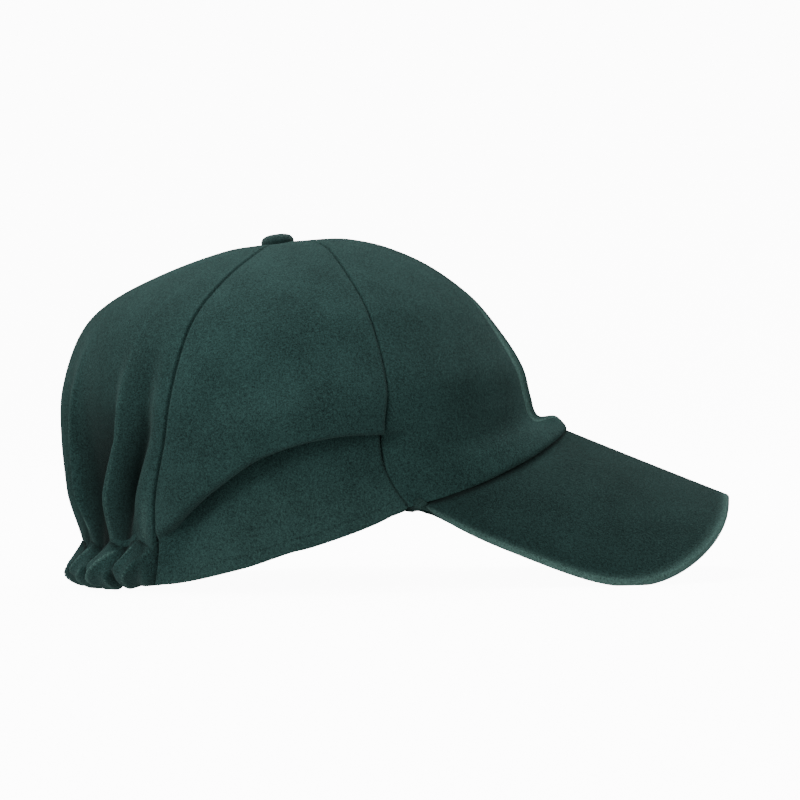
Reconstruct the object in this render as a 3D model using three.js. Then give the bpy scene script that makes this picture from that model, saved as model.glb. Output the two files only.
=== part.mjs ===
// A cricket cap of thick wool cloth: a crown of six gores with a covered button, a tuck in each side gore,
// back gores gathered into an elastic casing, and a curved peak. Millimetres, +Z up, +X to the peak,
// +Y to the wearer's left. The cap rests on the plane z = 0, with the origin under the middle of its box.
import * as THREE from "three";

// Crown
const crownLength = 203;
const crownWidth = 182;
const crownHeight = 140.6;
const clothThickness = 1.6;
const seamGap = 0.4;
const seamDitchDepth = 1.1;
const seamDitchWidth = 5;

// Flare of the crown's lower edge over the peak at the centre front
const flareHeight = 3.2;
const flareHalfWidth = 22;

// Tuck in each side gore
const tuckGap = 0.5;
const tuckLipRadius = clothThickness + tuckGap / 2;
const tuckFoldRadius = tuckGap / 2;
const tuckFoldDepth = 8;
const tuckPuff = 4.4;
const tuckPuffReach = 30;
const bandPullWidth = 11;

// Gathers of the back gores
const gatherDepth = 4;
const gatherFadeWidth = 7;

// Elastic casing round the back
const casingHeight = 17;
const casingThickness = 4.4;
const casingFullness = 9;
const casingWave = 2.2;
const casingGap = 0.35;
const pinchDepth = 4.4;
const pinchReach = 14;

// Button on top of the crown
const buttonRadius = 6.6;
const buttonHeight = 3.2;
const buttonSeatGap = 0.35;

// Peak
const peakLength = 70;
const peakHalfWidth = 96.5;
const peakRollRadius = 90;
const peakPitch = THREE.MathUtils.degToRad(21.3);
const peakSquareness = 4;
const peakCornerDepth = 4;
const peakFrontPart = 0.72;
const peakClothThickness = 1.6;
const peakClothGap = 0.45;
const peakEdgeFold = 1;
const peakSeatGap = 0.5;
const peakCornerGap = 0.7;

// The cap leans forward or back by this much from the drawing, so that casing and peak both touch the surface,
// and the cloth is pressed flat by this much where it rests.
const restLean = THREE.MathUtils.degToRad(1.12);
const restFlat = 0.6;

// Level sections of the crown from the button down. down is the share of the way down; front and back
// are shares of the crown's length before and behind the drawing's upright line; half is a share of its width;
// frontRise, sideRise and backRise are shares of its height; square is the power of the oval;
// frontSeam and backSeam are the places of the side gore's seams, in degrees round the oval.
const sections = [
  {
    down: 0, front: -0.024, back: 0.067, half: 0.024,
    frontRise: 0.993, sideRise: 0.985, backRise: 0.985, square: 2, frontSeam: 50, backSeam: 108,
  },
  {
    down: 0.1, front: 0.099, back: 0.149, half: 0.148,
    frontRise: 1, sideRise: 0.972, backRise: 0.964, square: 2, frontSeam: 54, backSeam: 108,
  },
  {
    down: 0.28, front: 0.226, back: 0.282, half: 0.302,
    frontRise: 0.946, sideRise: 0.889, backRise: 0.892, square: 2, frontSeam: 57.5, backSeam: 110,
  },
  {
    down: 0.44, front: 0.332, back: 0.384, half: 0.407,
    frontRise: 0.843, sideRise: 0.781, backRise: 0.809, square: 2.1, frontSeam: 59.5, backSeam: 111,
  },
  {
    down: 0.56, front: 0.396, back: 0.438, half: 0.464,
    frontRise: 0.735, sideRise: 0.667, backRise: 0.717, square: 2.1, frontSeam: 60.3, backSeam: 112,
  },
  {
    down: 0.67, front: 0.438, back: 0.47, half: 0.494,
    frontRise: 0.637, sideRise: 0.545, backRise: 0.573, square: 2.2, frontSeam: 62.5, backSeam: 112,
  },
  {
    down: 0.77, front: 0.454, back: 0.475, half: 0.5,
    frontRise: 0.553, sideRise: 0.444, backRise: 0.447, square: 2.2, frontSeam: 64.7, backSeam: 113.5,
  },
  {
    down: 0.88, front: 0.467, back: 0.465, half: 0.48,
    frontRise: 0.499, sideRise: 0.3, backRise: 0.29, square: 2.3, frontSeam: 67, backSeam: 117,
  },
  {
    down: 0.95, front: 0.5, back: 0.447, half: 0.466,
    frontRise: 0.474, sideRise: 0.215, backRise: 0.12, square: 2.35, frontSeam: 69, backSeam: 120,
  },
];

// The rim: the last section, whose height follows its own table, in degrees round the oval and shares of the
// height
const rim = { down: 1, front: 0.525, back: 0.431, half: 0.453, square: 2.4, frontSeam: 69.2, backSeam: 123 };
const rimRises = [
  { around: 0, rise: 0.464 },
  { around: 18, rise: 0.424 },
  { around: 31, rise: 0.384 },
  { around: 40, rise: 0.354 },
  { around: 49, rise: 0.321 },
  { around: 61, rise: 0.281 },
  { around: 69, rise: 0.256 },
  { around: 77, rise: 0.209 },
  { around: 86, rise: 0.162 },
  { around: 100, rise: 0.088 },
  { around: 121, rise: 0.04 },
  { around: 150, rise: 0.02 },
  { around: 180, rise: 0.012 },
];

// The tuck across a side gore: across is the share from its front seam to its back seam, lip the lip's height
// as a share of the crown's, turn the angle in degrees that the cloth turns at the lip, fold the share of the
// fold's depth, and puff the share by which the cloth above the lip stands out.
const tuckRows = [
  { across: 0, lip: 0.453, turn: 180, fold: 0.75, puff: 0.34 },
  { across: 0.25, lip: 0.445, turn: 165, fold: 1, puff: 0.75 },
  { across: 0.5, lip: 0.405, turn: 150, fold: 0.95, puff: 1 },
  { across: 0.7, lip: 0.316, turn: 140, fold: 0.6, puff: 0.85 },
  { across: 0.85, lip: 0.24, turn: 100, fold: 0.3, puff: 0.5 },
  { across: 1, lip: 0.178, turn: 20, fold: 0.2, puff: 0 },
];

// Folds of a gathered back gore: across is the share from its side seam to the centre back, swell is 1 on a
// fold's ridge and 0 in its valley.
const gatherRows = [
  { across: 0, swell: 0.7 },
  { across: 0.06, swell: 1 },
  { across: 0.13, swell: 0.1 },
  { across: 0.25, swell: 0.9 },
  { across: 0.34, swell: 0 },
  { across: 0.48, swell: 1 },
  { across: 0.6, swell: 0.15 },
  { across: 0.74, swell: 0.85 },
  { across: 0.87, swell: 0.05 },
  { across: 1, swell: 0.7 },
];

// Fineness of the pieces
const acrossFront = 14;
const acrossSide = 14;
const acrossBack = 24;
const acrossCasing = 44;
const downLip = 11;
const downBand = 5;
const downBack = 4;
const downCasing = 6;
const alongPeak = 8;
const arcSteps = 4;
const buttonSides = 20;

// Share of the way down where the gores end under the button
const topShare = 0.002;

// Smooth value of a column of a table at one place, through the rows in turn
function smoothColumn(rows, placeName, columnName, place) {
  const last = rows.length - 1;
  let row = 0;
  while (row < last - 1 && place > rows[row + 1][placeName]) row += 1;
  const slope = (k) => {
    const low = rows[Math.max(k - 1, 0)];
    const high = rows[Math.min(k + 1, last)];
    return (high[columnName] - low[columnName]) / (high[placeName] - low[placeName]);
  };
  const start = rows[row];
  const end = rows[row + 1];
  const width = end[placeName] - start[placeName];
  const s = THREE.MathUtils.clamp((place - start[placeName]) / width, 0, 1);
  const startPart = (1 + 2 * s) * (1 - s) ** 2 * start[columnName] + s * (1 - s) ** 2 * width * slope(row);
  const endPart = s * s * (3 - 2 * s) * end[columnName] + s * s * (s - 1) * width * slope(row + 1);
  return startPart + endPart;
}

const signedPower = (value, power) => Math.sign(value) * Math.abs(value) ** power;

// A point of the smooth crown: around in radians from the centre front to the wearer's left, down from 0 to 1.
// Each level is an oval of the given power; its height varies with the cosine and its square, but for the rim's.
function crownPoint(around, down) {
  const outline = [...sections, rim];
  const column = (name) => smoothColumn(outline, "down", name, down);
  const front = column("front") * crownLength;
  const back = -column("back") * crownLength;
  const half = column("half") * crownWidth;
  const power = 2 / column("square");
  const cosine = signedPower(Math.cos(around), power);
  const sine = signedPower(Math.sin(around), power);
  const levels = sections.map(({ down: place, frontRise, sideRise, backRise }) => {
    const tilt = (frontRise - backRise) / 2;
    const bend = (frontRise + backRise) / 2 - sideRise;
    return { place, rise: sideRise + tilt * cosine + bend * cosine * cosine };
  });
  const degrees = Math.abs(THREE.MathUtils.radToDeg(around));
  levels.push({ place: rim.down, rise: smoothColumn(rimRises, "around", "rise", degrees) });
  const height = crownHeight * smoothColumn(levels, "place", "rise", down);
  return new THREE.Vector3((front + back) / 2 + ((front - back) / 2) * cosine, half * sine, height);
}

function crownNormal(around, down) {
  const step = 0.004;
  const lower = Math.min(down + step, 1);
  const upper = Math.max(down - step, 0);
  const downwards = crownPoint(around, lower).sub(crownPoint(around, upper));
  const sideways = crownPoint(around + step, down).sub(crownPoint(around - step, down));
  return sideways.cross(downwards).normalize().negate();
}

// Angle of a side gore's seam at one level, in radians on the wearer's left
function seamAngle(column, down) {
  return THREE.MathUtils.degToRad(smoothColumn([...sections, rim], "down", column, down));
}

// How far a gore lies below the smooth crown beside its seams, so that two gores meet in a shallow ditch
// that fades out under the button
function ditch(distance, down) {
  const fade = THREE.MathUtils.smoothstep(down, sections[0].down, sections[1].down);
  return seamDitchDepth * fade * Math.exp(-((distance / seamDitchWidth) ** 2) * 4);
}

// A closed solid from a grid of cloth stations: each has an outer and an inner point, rows run one way
// and columns the other. The two faces are joined round their edges.
function clothMesh(name, grid, material) {
  const rows = grid.length;
  const columns = grid[0].length;
  const positions = [];
  grid.forEach((row) => row.forEach((station) => positions.push(...station.outer.toArray())));
  grid.forEach((row) => row.forEach((station) => positions.push(...station.inner.toArray())));
  const outer = (i, j) => i * columns + j;
  const inner = (i, j) => rows * columns + i * columns + j;
  const faces = [];
  const quad = (a, b, c, d) => faces.push(a, b, c, a, c, d);
  for (let i = 0; i < rows - 1; i += 1) {
    for (let j = 0; j < columns - 1; j += 1) {
      quad(outer(i, j), outer(i + 1, j), outer(i + 1, j + 1), outer(i, j + 1));
      quad(inner(i, j), inner(i, j + 1), inner(i + 1, j + 1), inner(i + 1, j));
    }
    quad(outer(i + 1, 0), outer(i, 0), inner(i, 0), inner(i + 1, 0));
    quad(outer(i, columns - 1), outer(i + 1, columns - 1), inner(i + 1, columns - 1), inner(i, columns - 1));
  }
  for (let j = 0; j < columns - 1; j += 1) {
    quad(outer(0, j), outer(0, j + 1), inner(0, j + 1), inner(0, j));
    quad(outer(rows - 1, j + 1), outer(rows - 1, j), inner(rows - 1, j), inner(rows - 1, j + 1));
  }
  const geometry = new THREE.BufferGeometry();
  geometry.setAttribute("position", new THREE.Float32BufferAttribute(positions, 3));
  geometry.setIndex(faces);
  geometry.computeVertexNormals();
  const mesh = new THREE.Mesh(geometry, material);
  mesh.name = name;
  return mesh;
}

// The same piece on the other side of the cap: the grid is mirrored and its rows keep their order,
// so each row is reversed to keep the faces outwards.
function mirrored(grid) {
  const flip = (point) => new THREE.Vector3(point.x, -point.y, point.z);
  return grid.map((row) => row.map((s) => ({ outer: flip(s.outer), inner: flip(s.inner) })).reverse());
}

// A gore station: the crown's point moved in along its normal, with the cloth's wall behind it
function crownStation(around, down, sink) {
  const normal = crownNormal(around, down);
  const outer = crownPoint(around, down).addScaledVector(normal, -sink);
  return { outer, inner: outer.clone().addScaledVector(normal, -clothThickness) };
}

// Turns a seam's angle by half the seam's gap, measured along the oval at that level
function besideSeam(angle, down, side, gap) {
  const step = 0.01;
  const length = crownPoint(angle + step, down).distanceTo(crownPoint(angle - step, down)) / (2 * step);
  return angle + (side * gap) / 2 / length;
}

function goreSpan(startColumn, endColumn, down) {
  const startAngle = startColumn === "centre" ? 0 : seamAngle(startColumn, down);
  const endAngle = endColumn === "centre" ? Math.PI : seamAngle(endColumn, down);
  return {
    start: besideSeam(startAngle, down, 1, seamGap),
    end: besideSeam(endAngle, down, -1, seamGap),
  };
}

// Distance in millimetres to the nearer seam of a gore at one level
function seamDistance(span, around, down) {
  const middle = (span.start + span.end) / 2;
  const edge = around < middle ? span.start : span.end;
  return crownPoint(around, down).distanceTo(crownPoint(edge, down));
}

// Share of the way down at which the crown is at a given height
function downAt(around, height) {
  let upper = sections[2].down;
  let lower = rim.down;
  for (let k = 0; k < 24; k += 1) {
    const middle = (upper + lower) / 2;
    if (crownPoint(around, middle).z > height) upper = middle;
    else lower = middle;
  }
  return (upper + lower) / 2;
}

const downAbove = (around, height) => downAt(around, crownPoint(around, rim.down).z + height);

// Share of the way down of the tuck's lip. Gores that share a seam have their rows at the same places along it.
function lipDown(across) {
  const span = goreSpan("frontSeam", "backSeam", sections[6].down);
  const around = THREE.MathUtils.lerp(span.start, span.end, across);
  return downAt(around, crownHeight * smoothColumn(tuckRows, "across", "lip", across) + tuckLipRadius);
}

// Places down a gore: even steps to the lip's level and even steps from there to its end
function goreDowns(lip, stepsBelow, end) {
  const downs = [];
  for (let i = 0; i <= downLip; i += 1) downs.push(THREE.MathUtils.lerp(topShare, lip, i / downLip));
  for (let i = 1; i <= stepsBelow; i += 1) downs.push(THREE.MathUtils.lerp(lip, end, i / stepsBelow));
  return downs;
}

// The peak is a flat shape rolled on a cylinder whose axis tips down to the front. Flat places are width and
// length in millimetres from the middle of the rim's front; depth is measured down from the upper face.
const rimFront = crownPoint(0, rim.down);
rimFront.z -= clothThickness;
const peakAhead = new THREE.Vector3(Math.cos(peakPitch), 0, -Math.sin(peakPitch));
const peakUp = new THREE.Vector3(Math.sin(peakPitch), 0, Math.cos(peakPitch));

function rolled(width, length, depth) {
  const angle = width / peakRollRadius;
  const radius = peakRollRadius - depth;
  const point = rimFront.clone().addScaledVector(peakAhead, length);
  point.addScaledVector(peakUp, radius * Math.cos(angle) - peakRollRadius);
  point.y += radius * Math.sin(angle);
  return point;
}

function unrolled(point) {
  const angle = Math.asin(point.y / peakRollRadius);
  const drop = peakRollRadius * (1 - Math.cos(angle)) * Math.sin(peakPitch);
  return { width: peakRollRadius * angle, length: (point.x - rimFront.x + drop) / Math.cos(peakPitch) };
}

// Height of the peak's sheet under a point
function sheetHeight(point) {
  const flat = unrolled(point);
  return rolled(flat.width, flat.length, 0).z;
}

// Height that the flare adds: a bump over the peak's middle that is highest just above the rim
function flareLift(point, down) {
  const beside = Math.exp(-((point.y / flareHalfWidth) ** 2) * 2);
  const rise = THREE.MathUtils.smoothstep(down, sections[7].down, sections[8].down);
  const fall = 1 - THREE.MathUtils.smoothstep(down, sections[8].down, rim.down);
  return flareHeight * beside * rise * fall;
}

// The front gore is drawn in beside the side gore's band, which lies under the tuck
function bandPull(distance, down) {
  const lip = lipDown(0);
  const share = THREE.MathUtils.clamp((down - lip) / (rim.down - lip), 0, 1);
  const start = THREE.MathUtils.smoothstep(share, 0, 0.2);
  const near = Math.exp(-((distance / bandPullWidth) ** 2));
  const bandDepth = 2 * (tuckLipRadius + tuckFoldRadius) - tuckPuff * tuckRows[0].puff;
  return bandDepth * (1 - share ** 2) * start * near;
}

function frontStation(span, across, down) {
  const around = THREE.MathUtils.lerp(span.start, span.end, across);
  const toBand = crownPoint(around, down).distanceTo(crownPoint(span.end, down));
  const sink = ditch(seamDistance(span, around, down), down) + bandPull(toBand, down);
  const station = crownStation(around, down, sink);
  const lift = flareLift(station.outer, down);
  station.outer.z += lift;
  station.inner.z += lift;
  return station;
}

// The gore's edge on the peak: its end face lies parallel to the peak's sheet. drop is how far the sheet is
// lowered there, so that it passes just under the face.
function frontRimStation(along) {
  const station = frontStation(goreSpan("centre", "frontSeam", rim.down), along, rim.down);
  const drop = sheetHeight(station.outer) + peakSeatGap - station.outer.z;
  station.inner.z = sheetHeight(station.inner) + peakSeatGap - drop;
  return { ...station, drop };
}

function frontGore() {
  return goreDowns(lipDown(0), downBand, rim.down).map((down) => {
    const span = goreSpan("centre", "frontSeam", down);
    const row = [];
    for (let j = 0; j <= acrossFront; j += 1) {
      const across = j / acrossFront;
      row.push(down === rim.down ? frontRimStation(across) : frontStation(span, across, down));
    }
    return row;
  });
}

// 0 beside the side gore and 1 away from it
function awayFromSide(around, down) {
  const seam = crownPoint(seamAngle("backSeam", down), down);
  return 1 - Math.exp(-((crownPoint(Math.abs(around), down).distanceTo(seam) / gatherFadeWidth) ** 2));
}

// Where a line round the back lies among the gathers: 1 on a fold's ridge, 0 in its valley
function gatherWave(around) {
  const side = seamAngle("backSeam", rim.down);
  return smoothColumn(gatherRows, "across", "swell", (Math.abs(around) - side) / (Math.PI - side));
}

// The gathers grow from nothing two fifths of the way down to their full depth at the casing, and the pull of
// the elastic draws the cloth in just above it. Both fade out beside the side gore.
function gatherSink(around, down, height) {
  const growth = THREE.MathUtils.smoothstep(down, 0.42, 0.93);
  const pinch = THREE.MathUtils.smoothstep(pinchReach - height, 0, pinchReach);
  return (gatherDepth * growth * (1 - gatherWave(around)) + pinchDepth * pinch) * awayFromSide(around, down);
}

function backGore() {
  const lip = lipDown(1);
  const rimSpan = goreSpan("backSeam", "centre", rim.down);
  const columns = [];
  for (let j = 0; j <= acrossBack; j += 1) {
    const rimAround = THREE.MathUtils.lerp(rimSpan.start, rimSpan.end, j / acrossBack);
    const end = downAbove(rimAround, casingHeight + casingGap);
    const endHeight = crownPoint(rimAround, end).z;
    columns.push(goreDowns(Math.min(lip, end - 0.06), downBack, end).map((down) => {
      const span = goreSpan("backSeam", "centre", down);
      const around = THREE.MathUtils.lerp(span.start, span.end, j / acrossBack);
      const sink = gatherSink(around, down, crownPoint(around, down).z - endHeight);
      return crownStation(around, down, sink + ditch(seamDistance(span, around, down), down));
    }));
  }
  return columns[0].map((unused, i) => columns.map((column) => column[i]));
}

// The casing: a soft channel round the back from side gore to side gore, full outside and plain inside
function elasticCasing() {
  const start = besideSeam(seamAngle("backSeam", 1), 1, 1, seamGap);
  const grid = [];
  for (let i = 0; i <= downCasing; i += 1) {
    const share = i / downCasing;
    const row = [];
    for (let j = 0; j <= acrossCasing; j += 1) {
      const around = THREE.MathUtils.lerp(start, 2 * Math.PI - start, j / acrossCasing);
      const folded = around > Math.PI ? around - 2 * Math.PI : around;
      const top = downAbove(folded, casingHeight);
      const down = THREE.MathUtils.lerp(top, 1, share);
      const fade = awayFromSide(folded, down);
      const swell = Math.sin(Math.PI * THREE.MathUtils.lerp(0.08, 0.86, share ** 1.2));
      const wave = casingWave * fade * (gatherWave(folded) - 0.5);
      const normal = crownNormal(folded, down).setZ(0).normalize();
      const outward = fade * (casingFullness * swell - pinchDepth) + wave * swell;
      const middle = crownPoint(folded, down).addScaledVector(normal, -pinchDepth * fade - clothThickness / 2);
      const outer = crownPoint(folded, down).addScaledVector(normal, outward);
      const inner = middle.addScaledVector(normal, -(casingThickness / 2) * swell);
      row.push({ outer, inner });
    }
    grid.push(row);
  }
  return grid;
}

// The cloth's path down one line of the side gore, as places down the crown and depths below it:
// down to the lip, round it, up behind by the fold's depth, round again and down to the rim.
function tuckPath(across) {
  const lip = lipDown(across);
  const turn = THREE.MathUtils.degToRad(smoothColumn(tuckRows, "across", "turn", across));
  const fold = tuckFoldDepth * smoothColumn(tuckRows, "across", "fold", across);
  const puff = tuckPuff * smoothColumn(tuckRows, "across", "puff", across);
  const reach = tuckPuffReach / crownHeight;
  const path = goreDowns(lip, 0, lip).map((down) => {
    return { down, run: 0, depth: -puff * THREE.MathUtils.smoothstep(down, lip - reach, lip) };
  });
  for (let k = 1; k <= arcSteps; k += 1) {
    const angle = (turn * k) / arcSteps;
    const depth = tuckLipRadius * (1 - Math.cos(angle)) - puff;
    path.push({ down: lip, run: tuckLipRadius * Math.sin(angle), depth });
  }
  const run = tuckLipRadius * Math.sin(turn) + fold * Math.cos(turn);
  const depth = tuckLipRadius * (1 - Math.cos(turn)) + fold * Math.sin(turn) - puff;
  for (let k = 0; k <= arcSteps; k += 1) {
    const angle = turn - (turn * k) / arcSteps;
    path.push({
      down: lip,
      run: run + tuckFoldRadius * (Math.sin(turn) - Math.sin(angle)),
      depth: depth + tuckFoldRadius * (Math.cos(angle) - Math.cos(turn)),
    });
  }
  const bandDepth = depth + tuckFoldRadius * (1 - Math.cos(turn));
  const bandRun = run + tuckFoldRadius * Math.sin(turn);
  for (let i = 1; i <= downBand; i += 1) {
    const share = i / downBand;
    const down = THREE.MathUtils.lerp(lip, 1, share);
    path.push({ down, run: bandRun * (1 - share), depth: bandDepth * (1 - share ** 2) });
  }
  return path;
}

function sideGore() {
  const columns = [];
  for (let j = 0; j <= acrossSide; j += 1) {
    const across = j / acrossSide;
    const column = tuckPath(across).map((step) => {
      const span = goreSpan("frontSeam", "backSeam", step.down);
      const around = THREE.MathUtils.lerp(span.start, span.end, across);
      const normal = crownNormal(around, step.down);
      const ahead = crownPoint(around + 0.01, step.down);
      const sideways = ahead.sub(crownPoint(around - 0.01, step.down)).normalize();
      const downwards = sideways.clone().cross(normal).normalize();
      const sink = step.depth + ditch(seamDistance(span, around, step.down), step.down);
      const point = crownPoint(around, step.down).addScaledVector(downwards, step.run);
      return point.addScaledVector(normal, -sink);
    });
    columns.push(column);
  }
  const grid = columns[0].map((unused, i) => columns.map((column) => ({ outer: column[i] })));
  const lastRow = grid.length - 1;
  grid.forEach((row, i) => row.forEach((station, j) => {
    const ahead = grid[Math.min(i + 1, lastRow)][j].outer.clone().sub(grid[Math.max(i - 1, 0)][j].outer);
    const beside = row[Math.min(j + 1, acrossSide)].outer.clone().sub(row[Math.max(j - 1, 0)].outer);
    const normal = beside.cross(ahead).normalize().negate();
    station.inner = station.outer.clone().addScaledVector(normal, -clothThickness);
  }));
  return grid;
}

// Inner edge of the peak at one place along the rim: below the gore's inner face, or its outer face at the
// corner.
// sink is how far the rolled sheet is lowered there, along its own normal.
function peakInnerEdge(along) {
  const station = frontRimStation(Math.abs(along));
  const inside = station.inner.clone().lerp(station.outer, along * along);
  inside.y *= Math.sign(along);
  const flat = unrolled(inside);
  const slope = Math.cos(flat.width / peakRollRadius) * Math.cos(peakPitch);
  return { ...flat, sink: (station.drop + peakCornerGap * along ** 8) / slope };
}

// Outer edge: a squared half oval round the front, then nearly straight back to the corner at the crown
function peakOuterEdge(along) {
  const side = Math.sign(along);
  const share = Math.abs(along) / peakFrontPart;
  if (share <= 1) {
    const spacing = peakSquareness / 2;
    const angle = ((Math.PI / 2) * share ** spacing) / (share ** spacing + (1 - share) ** spacing);
    const width = peakHalfWidth * Math.sin(angle) ** (2 / peakSquareness);
    return { width: side * width, length: peakLength * Math.cos(angle) ** (2 / peakSquareness) };
  }
  const corner = peakInnerEdge(side);
  const back = (Math.abs(along) - peakFrontPart) / (1 - peakFrontPart);
  return {
    width: THREE.MathUtils.lerp(side * peakHalfWidth, corner.width, back ** 2),
    length: THREE.MathUtils.lerp(0, corner.length + peakCornerDepth, back),
  };
}

// One cloth of the peak, at a depth below the upper face and with its outer edge drawn in by the inset
function peakCloth(upperDepth, inset) {
  const rows = Array.from({ length: alongPeak + 1 }, () => []);
  for (let j = -acrossFront; j <= acrossFront; j += 1) {
    const innerEdge = peakInnerEdge(j / acrossFront);
    const outerEdge = peakOuterEdge(j / acrossFront);
    const reach = Math.hypot(outerEdge.width - innerEdge.width, outerEdge.length - innerEdge.length);
    rows.forEach((row, i) => {
      const share = Math.min(i / alongPeak, 1 - inset / reach);
      const width = THREE.MathUtils.lerp(innerEdge.width, outerEdge.width, share);
      const length = THREE.MathUtils.lerp(innerEdge.length, outerEdge.length, share);
      const depth = upperDepth + innerEdge.sink * (1 - share) ** 2;
      const outer = rolled(width, length, depth);
      row.push({ outer, inner: rolled(width, length, depth + peakClothThickness) });
    });
  }
  return rows;
}

// The button: a low dome seated on the ring where the gores end, leaning with it
function crownButton(material) {
  const profile = [
    [0, 0],
    [0.86, 0],
    [1, 0.2],
    [0.97, 0.5],
    [0.8, 0.8],
    [0.45, 0.97],
    [0, 1],
  ].map(([radius, rise]) => new THREE.Vector2(radius * buttonRadius, rise * buttonHeight));
  const mesh = new THREE.Mesh(new THREE.LatheGeometry(profile, buttonSides), material);
  mesh.name = "crown_button";
  const front = crownPoint(0, topShare);
  const back = crownPoint(Math.PI, topShare);
  const lean = Math.atan2(front.z - back.z, front.x - back.x);
  const seat = front.clone().add(back).multiplyScalar(0.5);
  mesh.geometry.rotateX(Math.PI / 2);
  mesh.geometry.rotateY(-lean);
  mesh.geometry.translate(seat.x, 0, seat.z + buttonSeatGap);
  return mesh;
}

const cloth = (colour) => new THREE.MeshStandardMaterial({ color: colour, roughness: 0.95, metalness: 0 });
const frontCloth = 0x21302f;
const sideCloth = 0x293f3d;
const peakColour = 0x203331;

const pieces = [
  clothMesh("front_panel_left", frontGore(), cloth(frontCloth)),
  clothMesh("front_panel_right", mirrored(frontGore()), cloth(frontCloth)),
  clothMesh("side_panel_left", sideGore(), cloth(sideCloth)),
  clothMesh("side_panel_right", mirrored(sideGore()), cloth(sideCloth)),
  clothMesh("back_panel_left", backGore(), cloth(sideCloth)),
  clothMesh("back_panel_right", mirrored(backGore()), cloth(sideCloth)),
  clothMesh("elastic_casing", elasticCasing(), cloth(sideCloth)),
  crownButton(cloth(sideCloth)),
  clothMesh("peak_top", peakCloth(0, 0), cloth(peakColour)),
  clothMesh("peak_under", peakCloth(peakClothThickness + peakClothGap, peakEdgeFold), cloth(peakColour)),
];

// Lean the whole cap to rest, press its lowest cloth flat, and put the origin under the middle of its box
const box = new THREE.Box3();
pieces.forEach((piece) => {
  piece.geometry.rotateY(restLean);
  piece.geometry.computeBoundingBox();
  box.union(piece.geometry.boundingBox);
});
const surface = box.min.z + restFlat;
pieces.forEach((piece) => {
  const position = piece.geometry.getAttribute("position");
  for (let i = 0; i < position.count; i += 1) position.setZ(i, Math.max(position.getZ(i), surface));
});
const cap = new THREE.Group();
pieces.forEach((piece) => cap.add(piece));
cap.position.set(-(box.min.x + box.max.x) / 2, -(box.min.y + box.max.y) / 2, -surface);

export default cap;
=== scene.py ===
"""A cricket cap of dark green wool cloth at rest on a pale studio floor, seen from its right side.

The shapes are drawn in millimetres in the drawing's own frame, +X to the peak, +Y to the wearer's left and
+Z up, and are then leaned and moved into the part's frame.
"""

import math

import bpy
import numpy as np
from mathutils import Matrix, Vector


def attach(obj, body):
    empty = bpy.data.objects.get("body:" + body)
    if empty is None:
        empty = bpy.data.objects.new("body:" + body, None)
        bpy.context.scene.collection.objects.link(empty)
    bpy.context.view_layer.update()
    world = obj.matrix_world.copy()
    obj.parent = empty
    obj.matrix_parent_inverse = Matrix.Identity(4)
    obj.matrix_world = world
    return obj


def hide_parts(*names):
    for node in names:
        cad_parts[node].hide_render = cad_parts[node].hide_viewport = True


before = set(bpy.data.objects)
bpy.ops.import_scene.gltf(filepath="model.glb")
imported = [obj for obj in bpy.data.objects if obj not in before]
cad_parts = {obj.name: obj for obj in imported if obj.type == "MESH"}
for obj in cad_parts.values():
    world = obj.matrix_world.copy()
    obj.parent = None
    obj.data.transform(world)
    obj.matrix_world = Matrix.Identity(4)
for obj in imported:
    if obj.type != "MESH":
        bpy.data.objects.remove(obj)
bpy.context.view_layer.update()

# Front gores
# Two gores of felted wool over the forehead, sewn to each other at the centre front and to the side gores.
# Their lower edge is sewn on to the peak and flares out over its middle.

# A seam gap below 0 lets neighbours run into each other, so that no light shows between them. Pairs of values
# are shares of the way down, or across where the name says so, between which a form begins or ends.

crown_length = 203
crown_width = 182
crown_height = 140.6
gore_top = 0.002
cloth_thickness = 1.6
cloth_edge_radius = 0.4
seam_gap = -0.1
seam_allowance = 6
seam_depth = 1.2
seam_width = 0.6
seam_slope_depth = 0.35
seam_slope_width = 5
seam_start = (0, 0.1)
rim_roll_height = 1.3
rim_roll_reach = 6
rim_roll_end_across = (0.5, 0.95)
rim_edge_radius = 1.8
front_dip = 2.6
front_dip_start = (0.36, 0.66)
front_dip_end = (0.9, 0.99)
left_dip_width = 3.5
right_dip_width = 20
# Painted highlight on the left front gore: a lighter strip beside the centre front and over the flare,
# standing in for the light that the far gore catches
seam_painted_highlight = 0.58
seam_painted_highlight_start = (0.38, 0.6)
seam_painted_highlight_end = (0.9, 0.96)
seam_painted_highlight_width = 3.4
flare_painted_highlight_share = 0.4
flare_height = 2.6
flare_half_width = 15
flare_start = (0.88, 0.95)
flare_end = (0.95, 1)
band_pull_width = 11
tuck_gap = 0.5
tuck_lip_radius = cloth_thickness + tuck_gap / 2
tuck_fold_radius = tuck_gap / 2
tuck_puff = 5.4
gore_rows = 110
gore_columns = 90
edge_crowding = 0.11
halvings = 24

# Shares of the way down to the end of the dome, below which heights only fall, and about where the tuck lies
dome_end = 0.28
lip_level = 0.77

rest_lean = math.radians(1.12)
drawing_origin = np.array([-39.32, 0, -3.88])

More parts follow.
